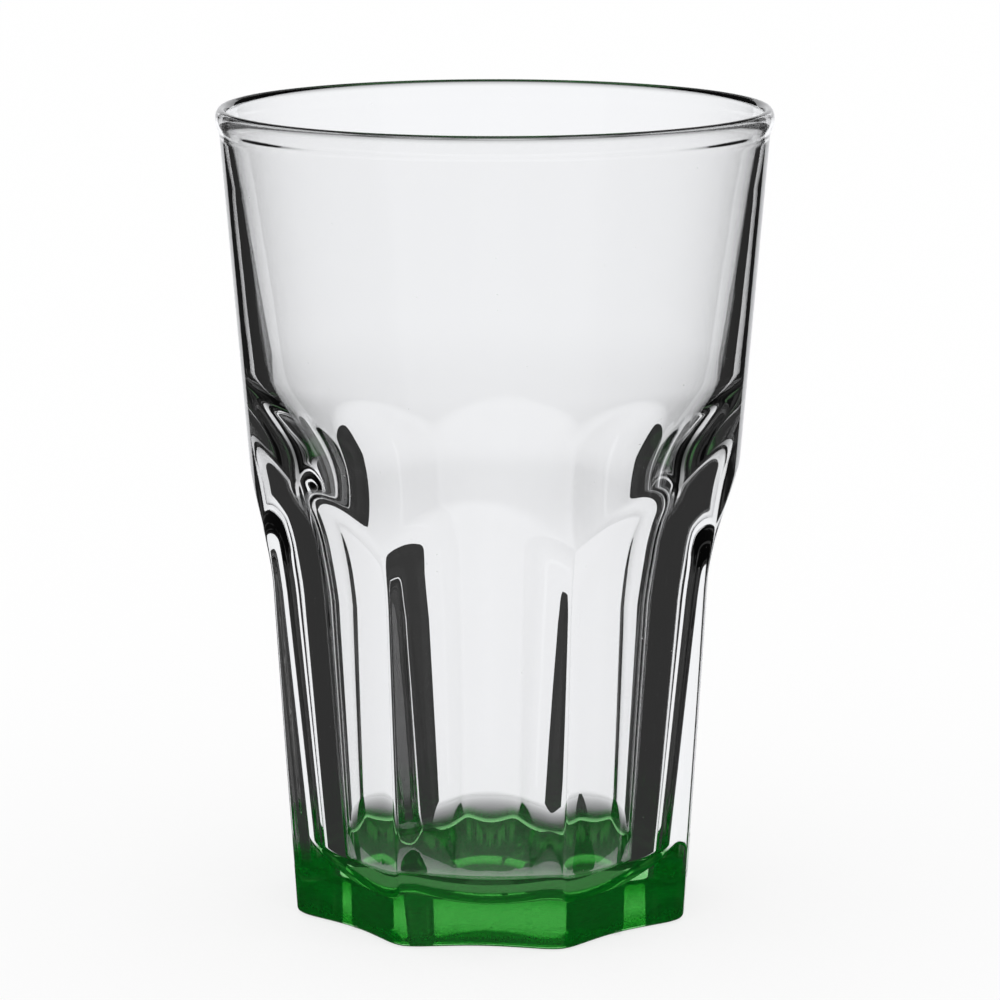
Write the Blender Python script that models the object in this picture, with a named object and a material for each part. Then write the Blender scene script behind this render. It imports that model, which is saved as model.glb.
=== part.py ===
"""Tall pressed-glass tumbler with arched panels and a colour-sprayed foot.

The glass is one pressing. A mould gives the outside: a round flared wall, cut by a ring of hollowed
panels that sweep out into it and so end in arches. A plunger gives the inside, with a shallow bowl
for a floor and a ledge at the shoulder that keeps stacked glasses from jamming. The lip is
fire-polished into a small bead.
The colour coat is a thin cup that follows the underside and the heel of the foot.

Metres, +Z up, origin on the table under the middle of the foot. A panel faces -Y.
"""

import math

import bmesh
import bpy

MM = 0.001

# Outside of the glass
TOTAL_HEIGHT = 131.5 * MM          # table to the top of the lip
LIP_RADIUS = 45.0 * MM             # widest point of the bead
BEAD_PROUD = 0.75 * MM             # how far the bead stands out from the wall
BEAD_RISE = 1.75 * MM              # widest point of the bead to the top of the lip
BEAD_NECK = 2.4 * MM               # widest point of the bead down to the plain wall
SHOULDER_HEIGHT = 61.6 * MM        # table to where the ridges run out into the round wall
SHOULDER_RADIUS = 39.0 * MM        # round wall at that height
FOOT_RADIUS = 34.65 * MM           # across the ridges at the heel, as a radius
HEEL_ROUND = 1.0 * MM              # rounding between the foot and the underside

# Panels
PANEL_COUNT = 8
SWEEP_START = 54.6 * MM            # table to where each panel leaves its straight line
SWEEP_RADIUS = 35.3 * MM           # how tightly it then sweeps out towards the round wall
ARCH_ROUND = 1.06 * MM             # depth over which the edge of the arch is rounded off
RIDGE_INSET = 0.79 * MM            # ridge below the line of the round wall at the shoulder
RIDGE_ROUND = 0.45 * MM            # depth over which the ridges are rounded off
PANEL_FLUTE = 0.75 * MM            # depth of the flute down the middle of each panel
PANEL_HOLLOW = 0.7 * MM            # further dishing at the foot, gone where the sweep starts

# Inside of the glass: wall measured in from the line of the round outside
LIP_THICKNESS = 2.0 * MM
LEDGE_TOP = 90.0 * MM              # table to where the upper bore starts to close in
LEDGE_TOP_WALL = 3.8 * MM
LEDGE_FOOT = 62.0 * MM             # table to where the lower bore is reached
LEDGE_FOOT_WALL = 9.3 * MM
FOOT_WALL = 9.4 * MM
FLOOR_THICKNESS = 2.6 * MM
FLOOR_FLAT_RADIUS = 2.0 * MM       # level middle of the bowl
BOWL_HEIGHT = 8.4 * MM             # level middle up to the straight bore

# Colour coat
COAT_HEIGHT = 8.0 * MM             # table to the upper edge of the coat
COAT_THICKNESS = 0.3 * MM
COAT_CLEARANCE = 0.3 * MM          # between the coat and the glass

# Mesh fineness
HALF_PANEL_COLUMNS = (0.26, 0.5, 0.66, 0.78, 0.88, 0.965)
ARCH_ROWS = 18
HEEL_ROWS = 3
BEAD_ROWS = 8
NECK_ROWS = 3
UPPER_ROWS = 1
LEDGE_ROWS = 9
LOWER_ROWS = 1
BOWL_ROWS = 7

HALF_PANEL = math.pi / PANEL_COUNT
GLASS_BOTTOM = COAT_THICKNESS + COAT_CLEARANCE
BEAD_HEIGHT = TOTAL_HEIGHT - BEAD_RISE
NECK_HEIGHT = BEAD_HEIGHT - BEAD_NECK
NECK_RADIUS = LIP_RADIUS - BEAD_PROUD
FLOOR_HEIGHT = GLASS_BOTTOM + FLOOR_THICKNESS
BOWL_TOP = FLOOR_HEIGHT + BOWL_HEIGHT


def clear_scene():
    for old in list(bpy.data.objects):
        bpy.data.objects.remove(old, do_unlink=True)


def between(start, end, steps):
    """Evenly spaced values from start to end, both included."""
    return [start + (end - start) * i / steps for i in range(steps + 1)]


def ease(share):
    share = min(max(share, 0.0), 1.0)
    return share * share * (3.0 - 2.0 * share)


def column_angles():
    """Angles round the axis, each with its angle from the middle of its own panel."""
    one_side = list(HALF_PANEL_COLUMNS)
    shares = [-1.0] + [-share for share in reversed(one_side)] + [0.0] + one_side
    columns = []
    for panel in range(PANEL_COUNT):
        middle = -math.pi / 2 + 2 * HALF_PANEL * panel
        for share in shares:
            columns.append((middle + share * HALF_PANEL, share * HALF_PANEL))
    return columns


COLUMNS = column_angles()


def round_wall(height):
    """Radius of the plain flared wall."""
    slope = (NECK_RADIUS - SHOULDER_RADIUS) / (NECK_HEIGHT - SHOULDER_HEIGHT)
    return SHOULDER_RADIUS + slope * (height - SHOULDER_HEIGHT)


def ridge_line(height):
    """Radius of the ridges between the panels, before rounding."""
    slope = (SHOULDER_RADIUS - RIDGE_INSET - FOOT_RADIUS) / (SHOULDER_HEIGHT - GLASS_BOTTOM)
    return FOOT_RADIUS + slope * (height - GLASS_BOTTOM)


def lower_of(first, second, blend):
    """The lesser of two radii, with the corner between them rounded."""
    overlap = max(blend - abs(first - second), 0.0)
    return min(first, second) - overlap**2 / (4 * blend)


def panel_wall(height, off_middle):
    """Radius of the panelled wall at an angle from the middle of the panel."""
    swept = max(height - SWEEP_START, 0.0)
    face = ridge_line(height) * math.cos(HALF_PANEL) + swept**2 / (2 * SWEEP_RADIUS)
    below_sweep = (SWEEP_START - height) / (SWEEP_START - GLASS_BOTTOM)
    hollow = PANEL_HOLLOW * min(max(below_sweep, 0.0), 1.0)

    def panel(off):
        across = math.tan(off) / math.tan(HALF_PANEL)
        flute = PANEL_FLUTE * (1.0 + math.cos(math.pi * across)) / 2
        return (face - hollow * (1.0 - across**2) - flute) / math.cos(off)

    off = abs(off_middle)
    return lower_of(panel(off), panel(2 * HALF_PANEL - off), RIDGE_ROUND)


def outside(height, off_middle):
    """Radius of the moulded outside: whichever of the two walls lies further in, rounded between."""
    return lower_of(round_wall(height), panel_wall(height, off_middle), ARCH_ROUND)


def arch_top():
    """Height at which the middle of a panel has run out into the round wall."""
    low, high = SWEEP_START, NECK_HEIGHT
    while high - low > 0.01 * MM:
        middle = (low + high) / 2
        if panel_wall(middle, 0.0) < round_wall(middle) + ARCH_ROUND:
            low = middle
        else:
            high = middle
    return high


def plunger(height):
    """Radius of the drinking space: a straight bore below, a ledge, and a straight flare above."""
    floor_end = round_wall(BOWL_TOP) - FOOT_WALL
    ledge_foot = round_wall(LEDGE_FOOT) - LEDGE_FOOT_WALL
    ledge_top = round_wall(LEDGE_TOP) - LEDGE_TOP_WALL
    lip = LIP_RADIUS - LIP_THICKNESS
    lower_slope = (ledge_foot - floor_end) / (LEDGE_FOOT - BOWL_TOP)
    upper_slope = (lip - ledge_top) / (BEAD_HEIGHT - LEDGE_TOP)
    if height <= LEDGE_FOOT:
        return ledge_foot + lower_slope * (height - LEDGE_FOOT)
    if height >= LEDGE_TOP:
        return ledge_top + upper_slope * (height - LEDGE_TOP)
    run = LEDGE_TOP - LEDGE_FOOT
    share = (height - LEDGE_FOOT) / run
    straight = ledge_foot + (ledge_top - ledge_foot) * ease(share)
    leave = share * (1 - share)**2 * lower_slope
    arrive = share**2 * (1 - share) * upper_slope
    return straight + run * (leave - arrive)


def ring(height, radius_at):
    """One section: a point on every column at this height."""
    points = []
    for angle, off_middle in COLUMNS:
        radius = radius_at(off_middle)
        points.append((radius * math.cos(angle), radius * math.sin(angle), height))
    return points


def round_ring(height, radius):
    return ring(height, lambda off_middle: radius)


def outside_ring(height, grow=0.0):
    return ring(height, lambda off_middle: outside(height, off_middle) + grow)


def heel_rings(grow=0.0):
    """Rounded heel, from the underside up to the wall, grown outwards by a set distance."""
    centre = GLASS_BOTTOM + HEEL_ROUND
    reach = HEEL_ROUND + grow
    rings = []
    for turn in between(0.0, math.pi / 2, HEEL_ROWS):
        out = reach * math.sin(turn) - HEEL_ROUND
        height = centre - reach * math.cos(turn)
        rings.append(ring(height, lambda off_middle: outside(centre, off_middle) + out))
    return rings


def bead_rings():
    """Neck, bead and lip, from the plain outer wall over to the plunger side."""
    rings = []
    for share in between(0.0, 1.0, NECK_ROWS)[:-1]:
        height = NECK_HEIGHT + BEAD_NECK * share
        rings.append(round_ring(height, NECK_RADIUS + BEAD_PROUD * ease(share)))
    middle = LIP_RADIUS - LIP_THICKNESS / 2
    for turn in between(0.0, math.pi, BEAD_ROWS):
        height = BEAD_HEIGHT + BEAD_RISE * math.sin(turn)
        rings.append(round_ring(height, middle + LIP_THICKNESS / 2 * math.cos(turn)))
    return rings


def plunger_rings():
    """Drinking space, from just under the lip down to the level middle of the bowl."""
    stretches = [
        (BEAD_HEIGHT, LEDGE_TOP, UPPER_ROWS),
        (LEDGE_TOP, LEDGE_FOOT, LEDGE_ROWS),
        (LEDGE_FOOT, BOWL_TOP, LOWER_ROWS),
    ]
    rings = []
    for top, bottom, rows in stretches:
        for height in between(top, bottom, rows)[1:]:
            rings.append(round_ring(height, plunger(height)))
    bowl_width = plunger(BOWL_TOP) - FLOOR_FLAT_RADIUS
    for turn in between(0.0, math.pi / 2, BOWL_ROWS)[1:]:
        height = BOWL_TOP - BOWL_HEIGHT * math.sin(turn)
        rings.append(round_ring(height, FLOOR_FLAT_RADIUS + bowl_width * math.cos(turn)))
    return rings


def glass_rings():
    rings = heel_rings()
    for height in between(SWEEP_START, arch_top(), ARCH_ROWS):
        rings.append(outside_ring(height))
    return rings + bead_rings() + plunger_rings()


def coat_rings():
    inner = COAT_CLEARANCE
    outer = COAT_CLEARANCE + COAT_THICKNESS
    rings = heel_rings(outer)
    rings.append(outside_ring(COAT_HEIGHT, outer))
    rings.append(outside_ring(COAT_HEIGHT, inner))
    return rings + list(reversed(heel_rings(inner)))


def cup(name, rings, material, parent):
    """Loft the rings into one closed cup and close its underside and its floor."""
    bm = bmesh.new()
    loops = [[bm.verts.new(point) for point in points] for points in rings]
    for low, high in zip(loops, loops[1:]):
        for i in range(len(low)):
            bm.faces.new((low[i - 1], low[i], high[i], high[i - 1]))
    bm.faces.new(list(reversed(loops[0])))
    bm.faces.new(loops[-1])
    mesh = bpy.data.meshes.new(name)
    bm.to_mesh(mesh)
    bm.free()
    mesh.shade_smooth()
    mesh.set_sharp_from_angle(angle=math.radians(35))
    mesh.materials.append(material)
    piece = bpy.data.objects.new(name, mesh)
    bpy.context.scene.collection.objects.link(piece)
    piece.parent = parent
    return piece


def material(name, colour, roughness, transmission):
    made = bpy.data.materials.new(name)
    made.use_nodes = True
    surface = made.node_tree.nodes["Principled BSDF"]
    surface.inputs["Base Color"].default_value = (*colour, 1.0)
    surface.inputs["Roughness"].default_value = roughness
    surface.inputs["Metallic"].default_value = 0.0
    surface.inputs["IOR"].default_value = 1.52
    surface.inputs["Transmission Weight"].default_value = transmission
    return made


def build():
    clear_scene()
    stand = bpy.data.objects.new("tall_beer_glass", None)
    bpy.context.scene.collection.objects.link(stand)
    clear_glass = material("clear_glass", (0.96, 0.98, 0.98), 0.02, 1.0)
    green_coat = material("green_coat", (0.03, 0.45, 0.09), 0.12, 0.8)
    cup("glass_body", glass_rings(), clear_glass, stand)
    cup("base_colour_coat", coat_rings(), green_coat, stand)


build()
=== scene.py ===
"""Looks of the tall beer glass: a clear pressed tumbler with a green colour coat on its foot.

The glass follows the same few sizes as its solid, much more finely, because all that shows of it is
how it bends light. The set is a bright field: a white surround with black cards beside the glass,
which draw its edges. The cards are carried by the camera, so each side of the glass is lit alike.
"""

import math

import bpy
import numpy as np
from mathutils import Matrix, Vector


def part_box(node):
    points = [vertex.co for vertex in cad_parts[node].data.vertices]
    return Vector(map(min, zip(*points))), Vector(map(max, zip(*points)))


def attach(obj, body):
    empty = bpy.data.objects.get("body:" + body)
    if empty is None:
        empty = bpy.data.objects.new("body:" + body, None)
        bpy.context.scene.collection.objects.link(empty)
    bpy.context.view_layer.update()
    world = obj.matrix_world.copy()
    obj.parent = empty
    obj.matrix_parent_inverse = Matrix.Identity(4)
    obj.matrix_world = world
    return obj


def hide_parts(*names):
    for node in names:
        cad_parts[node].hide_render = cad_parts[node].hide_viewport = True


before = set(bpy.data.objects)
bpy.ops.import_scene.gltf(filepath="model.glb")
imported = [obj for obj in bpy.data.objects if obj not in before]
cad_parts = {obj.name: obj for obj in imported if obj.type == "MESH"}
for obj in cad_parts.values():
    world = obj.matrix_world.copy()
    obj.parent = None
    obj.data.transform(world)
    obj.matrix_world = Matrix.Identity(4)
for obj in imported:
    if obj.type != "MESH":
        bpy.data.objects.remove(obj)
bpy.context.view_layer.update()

MM = 0.001
GLASS_LOW, GLASS_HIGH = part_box("glass_body")
COAT_LOW, COAT_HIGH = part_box("base_colour_coat")

# Outside of the glass
TABLE = COAT_LOW[2]
TOTAL_HEIGHT = GLASS_HIGH[2]
LIP_RADIUS = GLASS_HIGH[0]
BEAD_PROUD = 0.75 * MM             # how far the bead stands out from the wall
BEAD_RISE = 1.75 * MM              # widest point of the bead to the top of the lip
BEAD_NECK = 3.3 * MM               # widest point of the bead down to the plain wall
SHOULDER_HEIGHT = 61.6 * MM        # table to where the ridges run out into the round wall
SHOULDER_RADIUS = 39.0 * MM        # round wall at that height
FOOT_RADIUS = 34.65 * MM           # across the ridges at the heel, as a radius
HEEL_ROUND = 1.0 * MM              # rounding between the foot and the underside

# Panels
PANEL_COUNT = 8
SWEEP_START = 54.6 * MM            # table to where each panel leaves its straight line
SWEEP_RADIUS = 35.3 * MM           # how tightly it then sweeps out towards the round wall
ARCH_ROUND = 1.06 * MM             # depth over which the edge of the arch is rounded off
RIDGE_INSET = 0.79 * MM            # ridge below the line of the round wall at the shoulder
RIDGE_ROUND = 0.45 * MM            # depth over which the ridges are rounded off
PANEL_FLUTE = 0.75 * MM            # depth of the flute down the middle of each panel
PANEL_HOLLOW = 0.7 * MM            # further dishing at the foot, gone where the sweep starts

# Inside of the glass: wall measured in from the line of the round outside
LIP_THICKNESS = 2.0 * MM
LEDGE_TOP = 90.0 * MM              # table to where the upper bore starts to close in
LEDGE_TOP_WALL = 3.8 * MM
LEDGE_FOOT = 62.0 * MM             # table to where the lower bore is reached
LEDGE_FOOT_WALL = 9.3 * MM
FOOT_WALL = 9.4 * MM
FLOOR_THICKNESS = 2.8 * MM
FLOOR_FLAT_RADIUS = 2.0 * MM       # level middle of the bowl
BOWL_HEIGHT = 8.4 * MM             # level middle up to the straight bore
BOWL_SLACK = 1.2                   # 1 is a round bowl; more draws its flank in

# Colour coat
FILM = 0.05 * MM                   # thickness where it covers fully
FILM_BOND = 0.03 * MM              # between the film and the glass
FILM_EDGE = COAT_HIGH[2]           # table to the upper edge of the film
FILM_EDGE_SHARE = 0.02             # thickness left there
COAT_FULL = 1.0 * MM               # table to where the colour starts to thin
COAT_CLEAR = 5.0 * MM              # table to where the last droplets lie
LACQUER_GREEN = (0.01, 0.95, 0.13, 1.0)
LACQUER_TINT = (0.33, 0.84, 0.32, 1.0)
LACQUER_BODY = 0.38                # share of the light that the pigment scatters
PIGMENT_SCALE = 700.0
PIGMENT_SPREAD = 0.3
THROUGH_SCATTER = 0.5              # share of the scattered light that goes on through
DROPLET_SCALE = 3200.0
DROPLET_SPREAD = 0.9
DROPLET_LEAST = 0.1                # cover under which no droplet is left
PEEL_SCALE = 1400.0
PEEL_DEPTH = 0.002 * MM
PEEL_ROUGHNESS = 0.06

# Surface of the glass
GLASS_INDEX = 1.52
RIPPLE_SCALE = 260.0
RIPPLE_DRAWN = 0.3                 # ripples are drawn out up the wall
RIPPLE_DEPTH = 0.004 * MM
SCUFF_REACH = 0.02                 # to each side of a ridge, as a share of a panel
SCUFF_SCALE = 900.0
SCUFF_LEAST, SCUFF_MOST = 0.55, 0.7
SCUFF_ROUGHNESS = 0.35
DUST_SPACING = 300.0
DUST_CHANCE = 0.5                  # share of the cells that stay clean
DUST_SIZE = 0.08
DUST_ROUGHNESS = 0.4

HALF_PANEL = math.pi / PANEL_COUNT
GLASS_BOTTOM = TABLE + FILM + FILM_BOND
BEAD_HEIGHT = TOTAL_HEIGHT - BEAD_RISE
NECK_HEIGHT = BEAD_HEIGHT - BEAD_NECK
NECK_RADIUS = LIP_RADIUS - BEAD_PROUD
FLOOR_HEIGHT = GLASS_BOTTOM + FLOOR_THICKNESS
BOWL_TOP = FLOOR_HEIGHT + BOWL_HEIGHT

# Mesh fineness
HALF_PANEL_COLUMNS = 24
UNDERSIDE_INNER = 0.06             # innermost ring of the underside, as a share of its width
SHARP_EDGE = math.radians(50.0)

# Photograph
CAMERA_DISTANCE = 711.4 * MM
CAMERA_HEIGHT = 205.35 * MM
CAMERA_AZIMUTH = math.radians(3.9)
CAMERA_PITCH = math.radians(11.014)
CAMERA_LENS = 159.4
CAMERA_SENSOR = 36.0
CAMERA_SHIFT = 0.0052
CAMERA_REACH = 20.0

# Bright field that the glass sees, by the upward part of the way it looks
FIELD_TINT = (0.992, 1.0, 1.018)
FIELD_BRIGHT = 1.0
FIELD_CREST = -0.22                # it starts to grey below this
FIELD_FALL = 3.9
FIELD_LOW = 0.72                   # grey that it keeps down to the low edge
FIELD_LOW_EDGE = -0.55
FIELD_LEAST = 0.08                 # the dark straight down under the set
FIELD_LEAST_EDGE = -0.8
FIELD_RISE = 0.3                   # it brightens from the level up to the high edge
FIELD_HIGH_EDGE = 0.15

# Floor
FLOOR_HALF = 4.0
FLOOR_DROP = 0.1 * MM
FLOOR_WHITE = (0.99, 0.99, 0.99, 1.0)
FLOOR_LIFT = 0.75                  # share of pure white, seen straight
FLOOR_THROUGH = 0.2                # the same, seen through the foot
FOOT_SHEET_HALF = 22.0 * MM
FOOT_SHEET_DROP = 0.05 * MM

# Cards, placed from the camera; angles are at the glass, away from straight behind it
CARD_BEHIND = 1.4
CARD_NEAR = 0.25
CARD_TALL = 2.0
CARD_LEFT_ANGLE = math.radians(22.5)
CARD_RIGHT_ANGLE = math.radians(24.5)
CARD_SIDE_TONE = 0.03
ROOF_HEIGHT = 1.0
ROOF_OVERHANG = 1.0
ROOF_ANGLE = math.radians(32.0)
ROOF_TONE = 0.3
FRONT_HALF = 3.0
FRONT_BACK = 0.3
FRONT_TONE = 0.15


def ease(share):
    share = np.clip(share, 0.0, 1.0)
    return share * share * (3.0 - 2.0 * share)


def column_angles():
    """Angles round the axis, closest at the ridges, each with its angle from its panel's middle."""
    steps = np.arange(-HALF_PANEL_COLUMNS, HALF_PANEL_COLUMNS)
    shares = np.sin(steps / HALF_PANEL_COLUMNS * math.pi / 2)
    middles = -math.pi / 2 + 2 * HALF_PANEL * np.arange(PANEL_COUNT)
    angles = (middles[:, None] + shares * HALF_PANEL).ravel()
    return angles, np.tile(shares * HALF_PANEL, PANEL_COUNT)


ANGLE, OFF_MIDDLE = column_angles()


def round_wall(height):
    """Radius of the plain flared wall."""
    slope = (NECK_RADIUS - SHOULDER_RADIUS) / (NECK_HEIGHT - SHOULDER_HEIGHT)
    return SHOULDER_RADIUS + slope * (height - SHOULDER_HEIGHT)


def ridge_line(height):
    """Radius of the ridges between the panels, before rounding."""
    slope = (SHOULDER_RADIUS - RIDGE_INSET - FOOT_RADIUS) / (SHOULDER_HEIGHT - TABLE)
    return FOOT_RADIUS + slope * (height - TABLE)


def lower_of(first, second, blend):
    """The lesser of two radii, with the corner between them rounded."""
    overlap = np.maximum(blend - np.abs(first - second), 0.0)
    return np.minimum(first, second) - overlap**2 / (4 * blend)


def panel_wall(height, off_middle):
    """Radius of the panelled wall at angles from the middle of the panel."""
    swept = max(height - SWEEP_START, 0.0)
    face = ridge_line(height) * math.cos(HALF_PANEL) + swept**2 / (2 * SWEEP_RADIUS)
    below_sweep = (SWEEP_START - height) / (SWEEP_START - TABLE)
    hollow = PANEL_HOLLOW * min(max(below_sweep, 0.0), 1.0)

    def panel(off):
        across = np.tan(off) / math.tan(HALF_PANEL)
        flute = PANEL_FLUTE * (1.0 + np.cos(math.pi * across)) / 2
        return (face - hollow * (1.0 - across**2) - flute) / np.cos(off)

    off = np.abs(off_middle)
    return lower_of(panel(off), panel(2 * HALF_PANEL - off), RIDGE_ROUND)


def outside(height):
    """Radii of the moulded outside: whichever of the two walls lies further in, rounded between."""
    return lower_of(round_wall(height), panel_wall(height, OFF_MIDDLE), ARCH_ROUND)


def arch_top():
    """Height at which the middle of a panel has run out into the round wall."""
    low, high = SWEEP_START, NECK_HEIGHT
    while high - low > 0.01 * MM:
        middle = (low + high) / 2
        if panel_wall(middle, 0.0) < round_wall(middle) + ARCH_ROUND:
            low = middle
        else:
            high = middle
    return high


def plunger(height):
    """Radius of the drinking space: a straight bore below, a ledge, and a straight flare above."""
    floor_end = round_wall(BOWL_TOP) - FOOT_WALL
    ledge_foot = round_wall(LEDGE_FOOT) - LEDGE_FOOT_WALL
    ledge_top = round_wall(LEDGE_TOP) - LEDGE_TOP_WALL
    lip = LIP_RADIUS - LIP_THICKNESS
    lower_slope = (ledge_foot - floor_end) / (LEDGE_FOOT - BOWL_TOP)
    upper_slope = (lip - ledge_top) / (BEAD_HEIGHT - LEDGE_TOP)
    if height <= LEDGE_FOOT:
        return ledge_foot + lower_slope * (height - LEDGE_FOOT)
    if height >= LEDGE_TOP:
        return ledge_top + upper_slope * (height - LEDGE_TOP)
    run = LEDGE_TOP - LEDGE_FOOT
    share = (height - LEDGE_FOOT) / run
    straight = ledge_foot + (ledge_top - ledge_foot) * ease(share)
    leave = share * (1 - share)**2 * lower_slope
    arrive = share**2 * (1 - share) * upper_slope
    return straight + run * (leave - arrive)


def ring(height, radius):
    """One section: a point on every column at this height."""
    radius = np.broadcast_to(radius, ANGLE.shape)
    level = np.full_like(ANGLE, height)
    return np.stack([radius * np.cos(ANGLE), radius * np.sin(ANGLE), level], axis=1)


def heel_rings(grow, bottom_rows=8, heel_rows=10):
    """Underside from near its middle, then the rounded heel up to the wall, all grown outwards."""
    centre = GLASS_BOTTOM + HEEL_ROUND
    flat = outside(centre) - HEEL_ROUND
    reach = HEEL_ROUND + grow
    rings = []
    for share in np.linspace(UNDERSIDE_INNER, 1.0, bottom_rows)[:-1]:
        rings.append(ring(GLASS_BOTTOM - grow, flat * share))
    for turn in np.linspace(0.0, math.pi / 2, heel_rows):
        rings.append(ring(centre - reach * math.cos(turn), flat + reach * math.sin(turn)))
    return rings


def wall_rings(start, end, rows):
    """Moulded outside from one height to another, without the first."""
    return [ring(height, outside(height)) for height in np.linspace(start, end, rows + 1)[1:]]


def bead_rings(neck_rows=14, lip_rows=24):
    """Neck, bead and lip, from the plain outer wall over to the plunger side."""
    rings = []
    for share in np.linspace(0.0, 1.0, neck_rows + 1)[1:-1]:
        height = NECK_HEIGHT + BEAD_NECK * share
        rings.append(ring(height, NECK_RADIUS + BEAD_PROUD * ease(share)))
    middle = LIP_RADIUS - LIP_THICKNESS / 2
    for turn in np.linspace(0.0, math.pi, lip_rows + 1):
        height = BEAD_HEIGHT + BEAD_RISE * math.sin(turn)
        rings.append(ring(height, middle + LIP_THICKNESS / 2 * math.cos(turn)))
    return rings


def plunger_rings(flare_rows=4, ledge_rows=40, bore_rows=4, bowl_rows=36):
    """Drinking space, from just under the lip down to the level middle of the bowl."""
    stretches = [
        (BEAD_HEIGHT, LEDGE_TOP, flare_rows),
        (LEDGE_TOP, LEDGE_FOOT, ledge_rows),
        (LEDGE_FOOT, BOWL_TOP, bore_rows),
    ]
    rings = []
    for top, bottom, rows in stretches:
        for height in np.linspace(top, bottom, rows + 1)[1:]:
            rings.append(ring(height, plunger(height)))
    bowl_width = plunger(BOWL_TOP) - FLOOR_FLAT_RADIUS
    for turn in np.linspace(0.0, math.pi / 2, bowl_rows + 1)[1:]:
        height = BOWL_TOP - BOWL_HEIGHT * math.sin(turn)**BOWL_SLACK
        rings.append(ring(height, FLOOR_FLAT_RADIUS + bowl_width * math.cos(turn)**BOWL_SLACK))
    return rings


def loft(name, stretches):
    """Close stretches of rings, each with its own finish, into one solid piece."""
    rings = [points for stretch, finish in stretches for points in stretch]
    columns = len(ANGLE)
    low = np.arange(len(rings) - 1)[:, None] * columns
    high = low + columns
    this = np.arange(columns)[None, :]
    after = (this + 1) % columns
    quads = np.stack([low + this, low + after, high + after, high + this], axis=-1)
    faces = quads.reshape(-1, 4).tolist()
    faces.append(list(range(columns - 1, -1, -1)))
    faces.append([(len(rings) - 1) * columns + i for i in range(columns)])
    mesh = bpy.data.meshes.new(name)
    mesh.from_pydata(np.concatenate(rings).tolist(), [], faces)
    slots = []
    for slot, (stretch, finish) in enumerate(stretches):
        mesh.materials.append(finish)
        slots += [slot] * len(stretch) * columns
    slots = slots[:(len(rings) - 1) * columns] + [0, len(stretches) - 1]
    mesh.polygons.foreach_set("material_index", slots)
    mesh.shade_smooth()
    mesh.set_sharp_from_angle(angle=SHARP_EDGE)
    piece = bpy.data.objects.new(name, mesh)
    bpy.context.scene.collection.objects.link(piece)
    return piece


class Wire:
    """An output of a node. Arithmetic on it adds Math nodes to its tree."""

    def __init__(self, tree, output):
        self.tree = tree
        self.output = output

    def node(self, kind, settings=None, sockets=None, take=0):
        """Add a node with its settings, then its socket values or links, and give one output."""
        made = self.tree.nodes.new(kind)
        for key, value in (settings or {}).items():
            setattr(made, key, value)
        for key, value in (sockets or {}).items():
            if isinstance(value, Wire):
                self.tree.links.new(value.output, made.inputs[key])
            else:
                made.inputs[key].default_value = value
        return Wire(self.tree, made.outputs[take] if made.outputs else None)

    def math(self, operation, first, second):
        return self.node("ShaderNodeMath", {"operation": operation}, {0: first, 1: second})

    def __add__(self, other):
        return self.math("ADD", self, other)

    def __sub__(self, other):
        return self.math("SUBTRACT", self, other)

    def __rsub__(self, other):
        return self.math("SUBTRACT", other, self)

    def __mul__(self, other):
        return self.math("MULTIPLY", self, other)

    def __truediv__(self, other):
        return self.math("DIVIDE", self, other)

    def __rtruediv__(self, other):
        return self.math("DIVIDE", other, self)

    __radd__ = __add__
    __rmul__ = __mul__


def blank_material(name):
    """A new material with an empty tree."""
    made = bpy.data.materials.new(name)
    made.use_nodes = True
    made.node_tree.nodes.clear()
    return made, Wire(made.node_tree, None)


def noise(tree, place, scale, detail):
    return tree.node("ShaderNodeTexNoise", {}, {"Vector": place, "Scale": scale, "Detail": detail})


def bump(tree, height, depth):
    return tree.node("ShaderNodeBump", {}, {"Strength": 1.0, "Distance": depth, "Height": height})


def polished(tree, roughness, normal):
    """Clear surface of the glass's own index."""
    return tree.node("ShaderNodeBsdfPrincipled", {}, {
        "Base Color": (1.0, 1.0, 1.0, 1.0),
        "Roughness": roughness,
        "IOR": GLASS_INDEX,
        "Transmission Weight": 1.0,
        "Normal": normal,
    })


def ridge_scuffs(tree, place):
    """Small nicks along the moulded ridges, where glasses knock together."""
    across = tree.node("ShaderNodeSeparateXYZ", {}, {0: place}, take="X")
    along = tree.node("ShaderNodeSeparateXYZ", {}, {0: place}, take="Y")
    height = tree.node("ShaderNodeSeparateXYZ", {}, {0: place}, take="Z")
    turn = (tree.math("ARCTAN2", along, across) + math.pi / 2) / (2 * HALF_PANEL)
    off_ridge = tree.math("ABSOLUTE", tree.math("FRACT", turn + PANEL_COUNT, 0.0) - 0.5, 0.0)
    inner_radius = FOOT_RADIUS - RIDGE_INSET * 2
    outer = tree.math("GREATER_THAN", across * across + along * along, inner_radius**2)
    below = tree.math("LESS_THAN", height, SHOULDER_HEIGHT)
    ridge = tree.node("ShaderNodeMapRange", {}, {
        "Value": off_ridge,
        "From Min": 0.0,
        "From Max": SCUFF_REACH,
        "To Min": 1.0,
        "To Max": 0.0,
    })
    worn = tree.node("ShaderNodeMapRange", {}, {
        "Value": noise(tree, place, SCUFF_SCALE, 3.0),
        "From Min": SCUFF_LEAST,
        "From Max": SCUFF_MOST,
    })
    return ridge * worn * outer * below


def dust(tree, place):
    """Sparse specks of dust, each in a cell of its own."""
    cells = {"Vector": place, "Scale": DUST_SPACING}
    reach = tree.node("ShaderNodeTexVoronoi", {}, cells, take="Distance")
    chance = tree.node("ShaderNodeSeparateColor", {}, {
        0: tree.node("ShaderNodeTexVoronoi", {}, cells, take="Color"),
    })
    return tree.math("LESS_THAN", reach, (chance - DUST_CHANCE) * DUST_SIZE)


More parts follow.
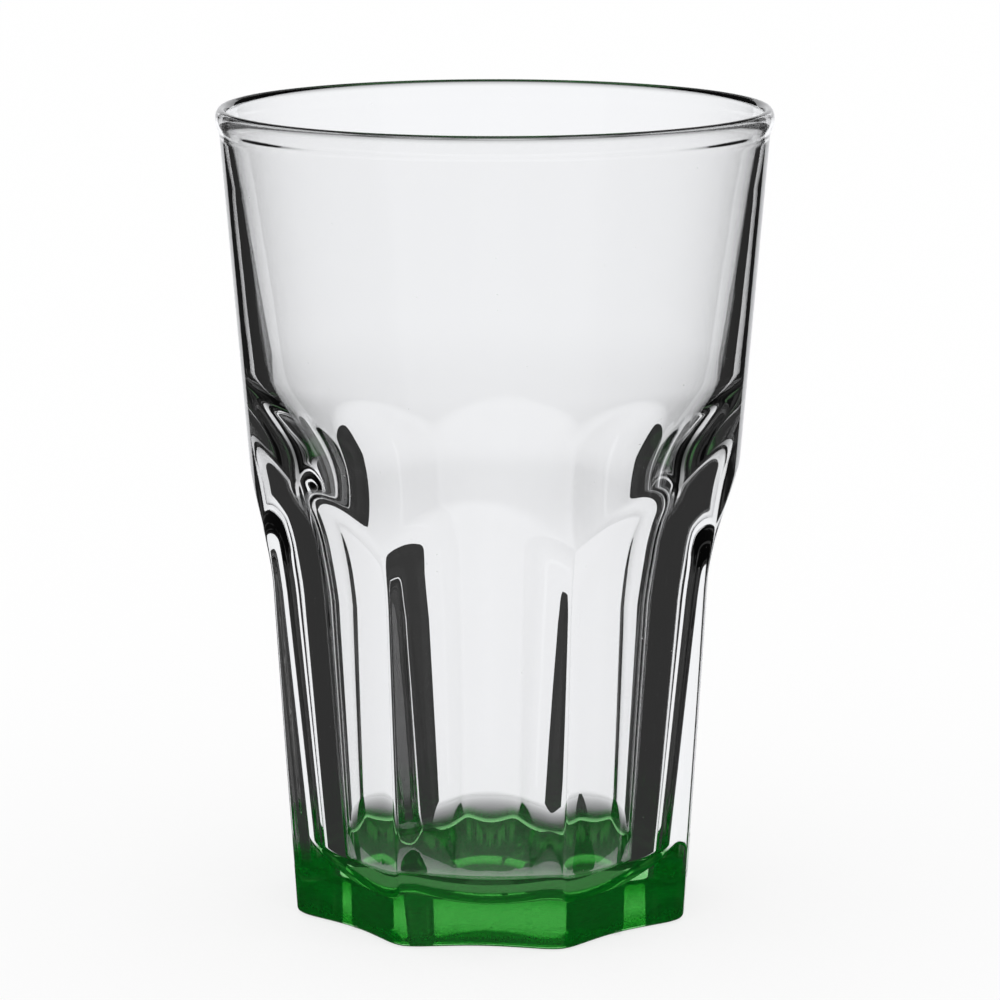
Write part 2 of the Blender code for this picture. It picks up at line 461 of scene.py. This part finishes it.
def clear_glass():
    """Fire-polished glass with the faint ripple of a pressing, a little dust and scuffed ridges."""
    made, tree = blank_material("clear_glass")
    place = tree.node("ShaderNodeTexCoord", take="Object")
    drawn = tree.node("ShaderNodeVectorMath", {"operation": "MULTIPLY"}, {
        0: place,
        1: (1.0, 1.0, RIPPLE_DRAWN),
    })
    wear = ridge_scuffs(tree, place) * SCUFF_ROUGHNESS + dust(tree, place) * DUST_ROUGHNESS
    ripple = bump(tree, noise(tree, drawn, RIPPLE_SCALE, 1.0), RIPPLE_DEPTH)
    tree.node("ShaderNodeOutputMaterial", {}, {"Surface": polished(tree, wear, ripple)})
    return made


def bonded_glass():
    """Glass under the coat, where film and glass are one body to the light."""
    made, tree = blank_material("bonded_glass")
    surface = tree.node("ShaderNodeBsdfTransparent")
    tree.node("ShaderNodeOutputMaterial", {}, {"Surface": surface})
    return made


def spray_cover(tree):
    """How fully the coat covers: whole on the foot, thinning upwards into single droplets."""
    place = tree.node("ShaderNodeTexCoord", take="Object")
    height = tree.node("ShaderNodeSeparateXYZ", {}, {0: place}, take="Z")
    reach = (COAT_CLEAR - height) / (COAT_CLEAR - COAT_FULL)
    droplets = noise(tree, place, DROPLET_SCALE, 2.0) - 0.5
    return tree.node("ShaderNodeMapRange", {"interpolation_type": "SMOOTHSTEP"}, {
        "Value": reach + droplets * DROPLET_SPREAD,
        "From Min": DROPLET_LEAST,
        "From Max": 1.0,
    })


def coat_face():
    """Outer face of the coat: clear gloss with the fine orange peel of a spray."""
    made, tree = blank_material("coat_face")
    place = tree.node("ShaderNodeTexCoord", take="Object")
    peel = noise(tree, place, PEEL_SCALE, 2.0)
    dulled = spray_cover(tree) * peel * PEEL_ROUGHNESS
    surface = polished(tree, dulled, bump(tree, peel, PEEL_DEPTH))
    tree.node("ShaderNodeOutputMaterial", {}, {"Surface": surface})
    return made


def coat_depth():
    """Inner face of the coat, which carries its colour: part tints light, part scatters it."""
    made, tree = blank_material("coat_depth")
    scatter = tree.node("ShaderNodeMixShader", {}, {
        0: THROUGH_SCATTER,
        1: tree.node("ShaderNodeBsdfDiffuse", {}, {"Color": LACQUER_GREEN}),
        2: tree.node("ShaderNodeBsdfTranslucent", {}, {"Color": LACQUER_GREEN}),
    })
    place = tree.node("ShaderNodeTexCoord", take="Object")
    pigment = noise(tree, place, PIGMENT_SCALE, 4.0) - 0.5
    film = tree.node("ShaderNodeMixShader", {}, {
        0: pigment * PIGMENT_SPREAD + LACQUER_BODY,
        1: tree.node("ShaderNodeBsdfTransparent", {}, {"Color": LACQUER_TINT}),
        2: scatter,
    })
    surface = tree.node("ShaderNodeMixShader", {}, {
        0: spray_cover(tree),
        1: tree.node("ShaderNodeBsdfTransparent"),
        2: film,
    })
    tree.node("ShaderNodeOutputMaterial", {}, {"Surface": surface})
    return made


def build_glass(coated_rows=8, panel_rows=14, arch_rows=84, upper_rows=6):
    """The pressing, from its underside up the outside and down into the bowl."""
    crown = arch_top()
    heel_top = GLASS_BOTTOM + HEEL_ROUND
    coated = heel_rings(0.0) + wall_rings(heel_top, FILM_EDGE, coated_rows)
    clear = [coated.pop()]
    clear += wall_rings(FILM_EDGE, SWEEP_START, panel_rows)
    clear += wall_rings(SWEEP_START, crown, arch_rows)
    clear += wall_rings(crown, NECK_HEIGHT, upper_rows)
    clear += bead_rings() + plunger_rings()
    finish = clear_glass()
    piece = loft("pressed_glass", [(coated, bonded_glass()), (clear, finish)])
    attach(piece, "root")
    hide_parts("glass_body")


def build_coat(wall_rows=24):
    """Sprayed film over the foot and underside, thinning to nothing at its upper edge."""
    heel_top = GLASS_BOTTOM + HEEL_ROUND
    outer = heel_rings(FILM_BOND + FILM)
    inner = heel_rings(FILM_BOND)
    for share in np.linspace(0.0, 1.0, wall_rows + 1)[1:]:
        height = heel_top + (FILM_EDGE - heel_top) * share
        skin = outside(height) + FILM_BOND
        outer.append(ring(height, skin + FILM * (1.0 + FILM_EDGE_SHARE - share)))
        inner.append(ring(height, skin))
    piece = loft("foot_colour_coat", [(outer, coat_face()), (inner[::-1], coat_depth())])
    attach(piece, "root")
    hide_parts("base_colour_coat")


def build_camera():
    lens = bpy.data.cameras.new("camera")
    lens.sensor_width = CAMERA_SENSOR
    lens.lens = CAMERA_LENS
    lens.shift_x = CAMERA_SHIFT
    lens.clip_end = CAMERA_REACH
    camera = bpy.data.objects.new("camera", lens)
    camera.location = (
        CAMERA_DISTANCE * math.sin(CAMERA_AZIMUTH),
        -CAMERA_DISTANCE * math.cos(CAMERA_AZIMUTH),
        CAMERA_HEIGHT,
    )
    camera.rotation_euler = (math.pi / 2 - CAMERA_PITCH, 0.0, CAMERA_AZIMUTH)
    bpy.context.scene.collection.objects.link(camera)
    bpy.context.scene.camera = camera
    return camera


def square(half, level):
    """Corners of a square round the Z axis at one level."""
    return [(-half, -half, level), (half, -half, level), (half, half, level), (-half, half, level)]


def sheet(name, corners, finish):
    mesh = bpy.data.meshes.new(name)
    mesh.from_pydata(corners, [], [(0, 1, 2, 3)])
    mesh.materials.append(finish)
    piece = bpy.data.objects.new(name, mesh)
    bpy.context.scene.collection.objects.link(piece)
    return piece


def build_floor():
    """Pale floor that takes the glass's shadow, and the part of it that shows through the foot."""
    made, tree = blank_material("floor_white")
    seen = tree.node("ShaderNodeLightPath", take="Is Camera Ray")
    through = tree.node("ShaderNodeLightPath", take="Is Transmission Ray")
    surface = tree.node("ShaderNodeMixShader", {}, {
        0: seen * FLOOR_LIFT + through * FLOOR_THROUGH,
        1: tree.node("ShaderNodeBsdfDiffuse", {}, {"Color": FLOOR_WHITE}),
        2: tree.node("ShaderNodeEmission", {}, {"Color": (1.0, 1.0, 1.0, 1.0)}),
    })
    tree.node("ShaderNodeOutputMaterial", {}, {"Surface": surface})
    floor = sheet("floor", square(FLOOR_HALF, TABLE - FLOOR_DROP), made)
    floor.visible_transmission = False
    floor.visible_glossy = False
    under = sheet("floor_under_foot", square(FOOT_SHEET_HALF, TABLE - FOOT_SHEET_DROP), made)
    under.visible_camera = False


def card(name, camera, corners, tone):
    """A card on the camera's own stand, seen only in the glass."""
    made, tree = blank_material(name)
    surface = tree.node("ShaderNodeEmission", {}, {"Color": (tone, tone, tone, 1.0)})
    tree.node("ShaderNodeOutputMaterial", {}, {"Surface": surface})
    piece = sheet(name, corners, made)
    piece.parent = camera
    piece.visible_camera = False
    piece.visible_diffuse = False
    piece.visible_shadow = False


def build_cards(camera):
    """Black cards to both sides, a grey one overhead and a dark one behind the camera."""
    glass_depth = math.hypot(CAMERA_DISTANCE, CAMERA_HEIGHT - TOTAL_HEIGHT / 2)
    far = glass_depth + CARD_BEHIND
    left = -CARD_BEHIND * math.tan(CARD_LEFT_ANGLE)
    right = CARD_BEHIND * math.tan(CARD_RIGHT_ANGLE)
    for name, side in (("card_left", left), ("card_right", right)):
        card(name, camera, [
            (side, -CARD_TALL, -CARD_NEAR),
            (side, CARD_TALL, -CARD_NEAR),
            (side, CARD_TALL, -far),
            (side, -CARD_TALL, -far),
        ], CARD_SIDE_TONE)
    roof_far = glass_depth + ROOF_HEIGHT / math.tan(ROOF_ANGLE)
    card("card_roof", camera, [
        (left, ROOF_HEIGHT, ROOF_OVERHANG),
        (right, ROOF_HEIGHT, ROOF_OVERHANG),
        (right, ROOF_HEIGHT, -roof_far),
        (left, ROOF_HEIGHT, -roof_far),
    ], ROOF_TONE)
    card("card_front", camera, square(FRONT_HALF, FRONT_BACK), FRONT_TONE)


def build_surround():
    """White all round; the glass sees it greyer towards the floor and dark straight below."""
    world = bpy.data.worlds.new("surround")
    bpy.context.scene.world = world
    world.use_nodes = True
    world.node_tree.nodes.clear()
    tree = Wire(world.node_tree, None)
    way = tree.node("ShaderNodeTexCoord", take="Generated")
    rise = tree.node("ShaderNodeSeparateXYZ", {}, {0: way}, take="Z")
    below = tree.math("MINIMUM", rise, FIELD_CREST) - FIELD_CREST
    above = tree.math("MINIMUM", tree.math("MAXIMUM", rise, 0.0), FIELD_HIGH_EDGE)
    least = tree.node("ShaderNodeMapRange", {}, {
        "Value": rise,
        "From Min": FIELD_LEAST_EDGE,
        "From Max": FIELD_LOW_EDGE,
        "To Min": FIELD_LEAST,
        "To Max": FIELD_LOW,
    })
    greyed = tree.math("MAXIMUM", FIELD_BRIGHT - below * below * FIELD_FALL, least)
    field = tree.node("ShaderNodeVectorMath", {"operation": "SCALE"}, {
        0: FIELD_TINT,
        "Scale": greyed + above * FIELD_RISE,
    })
    glossy = tree.node("ShaderNodeLightPath", take="Is Glossy Ray")
    through = tree.node("ShaderNodeLightPath", take="Is Transmission Ray")
    colour = tree.node("ShaderNodeMix", {"data_type": "RGBA"}, {
        0: glossy + through,
        6: (1.0, 1.0, 1.0, 1.0),
        7: field,
    }, take=2)
    light = tree.node("ShaderNodeBackground", {}, {"Color": colour, "Strength": 1.0})
    tree.node("ShaderNodeOutputWorld", {}, {"Surface": light})


def set_light_paths():
    """Enough bounces for light to find its way through the thick foot, and no more."""
    paths = bpy.context.scene.cycles
    paths.max_bounces = 9
    paths.glossy_bounces = 24
    paths.transmission_bounces = 32
    paths.transparent_max_bounces = 32


build_glass()
build_coat()
build_floor()
build_cards(build_camera())
build_surround()
set_light_paths()
bpy.context.scene.view_settings.view_transform = "Standard"
